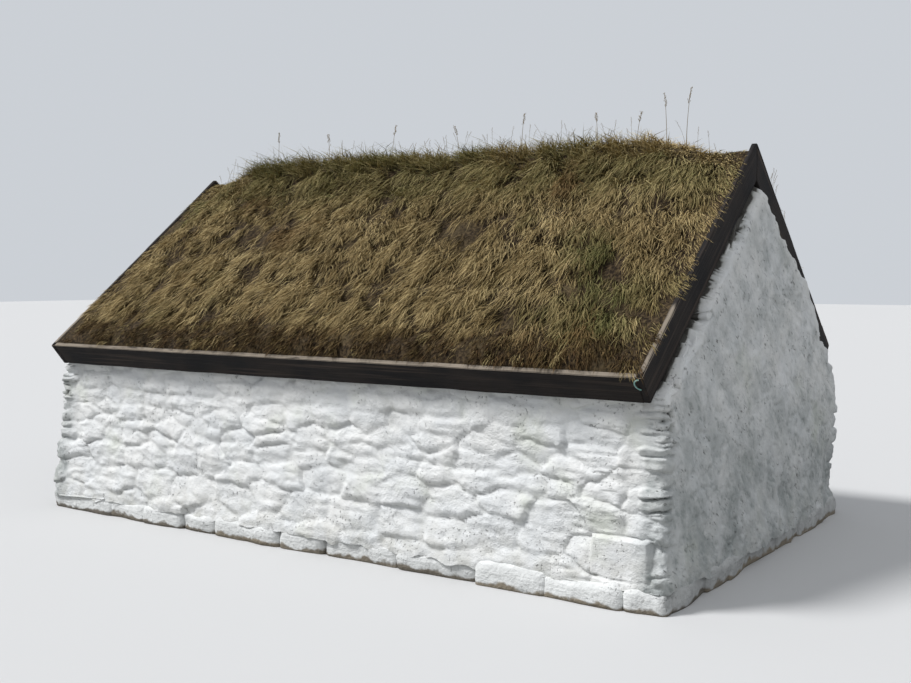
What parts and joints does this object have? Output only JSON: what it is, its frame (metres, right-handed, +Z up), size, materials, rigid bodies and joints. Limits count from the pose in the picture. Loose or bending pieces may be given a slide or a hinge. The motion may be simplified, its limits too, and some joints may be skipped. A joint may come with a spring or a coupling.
{
  "type": "turf-roofed stone house",
  "caption": "Small rubble-stone house with thick limewashed walls, a low doorway in one gable and a pitched turf roof held by dark boards.",
  "frame": {"origin": "on the ground under the middle of the house", "axes": "+X along the ridge towards the plain gable, +Y towards the far long wall, +Z up"},
  "size_m": [4.6126, 3.04, 2.7087],
  "materials": {
    "limewashed_rubble": "thick brushed limewash over rubble",
    "footing_stone": "patchy limewash over bare stone",
    "bare_stone": "worn bare stone",
    "roof_timber": "rough sawn softwood",
    "turf": "dry matted grass on soil",
    "dry_stalks": "dry stalks",
    "dark_board": "dark stain, weathered along the top edge",
    "teal_rod": "dull plastic-coated rod",
    "door_timber": "dark stained planks",
    "door_iron": "dull black iron"
  },
  "bodies": {
    "root": {"gable_wall": "limewashed_rubble", "near_door_pier": "limewashed_rubble", "far_door_pier": "limewashed_rubble", "over_door_wall": "limewashed_rubble", "door_lintel": "limewashed_rubble", "near_long_wall": "limewashed_rubble", "far_long_wall": "limewashed_rubble", "near_footing": "footing_stone", "far_footing": "footing_stone", "gable_footing": "footing_stone", "door_gable_footing": "footing_stone", "threshold_stone": "bare_stone", "near_wall_plate": "roof_timber", "far_wall_plate": "roof_timber", "near_rafters": "roof_timber", "far_rafters": "roof_timber", "collar_ties": "roof_timber", "ridge_board": "roof_timber", "near_sarking": "roof_timber", "far_sarking": "roof_timber", "near_turf": "turf", "far_turf": "turf", "ridge_turf": "turf", "seed_stalks": "dry_stalks", "gable_near_bargeboard": "dark_board", "gable_far_bargeboard": "dark_board", "door_near_bargeboard": "dark_board", "door_far_bargeboard": "dark_board", "near_eaves_board": "dark_board", "far_eaves_board": "dark_board", "eaves_hook": "teal_rod", "door_posts": "door_timber", "door_frame_head": "door_timber", "door_planks": "door_timber", "door_ledges": "door_timber", "door_hinges": "door_iron", "door_latch": "door_iron"}
  },
  "joints": []
}
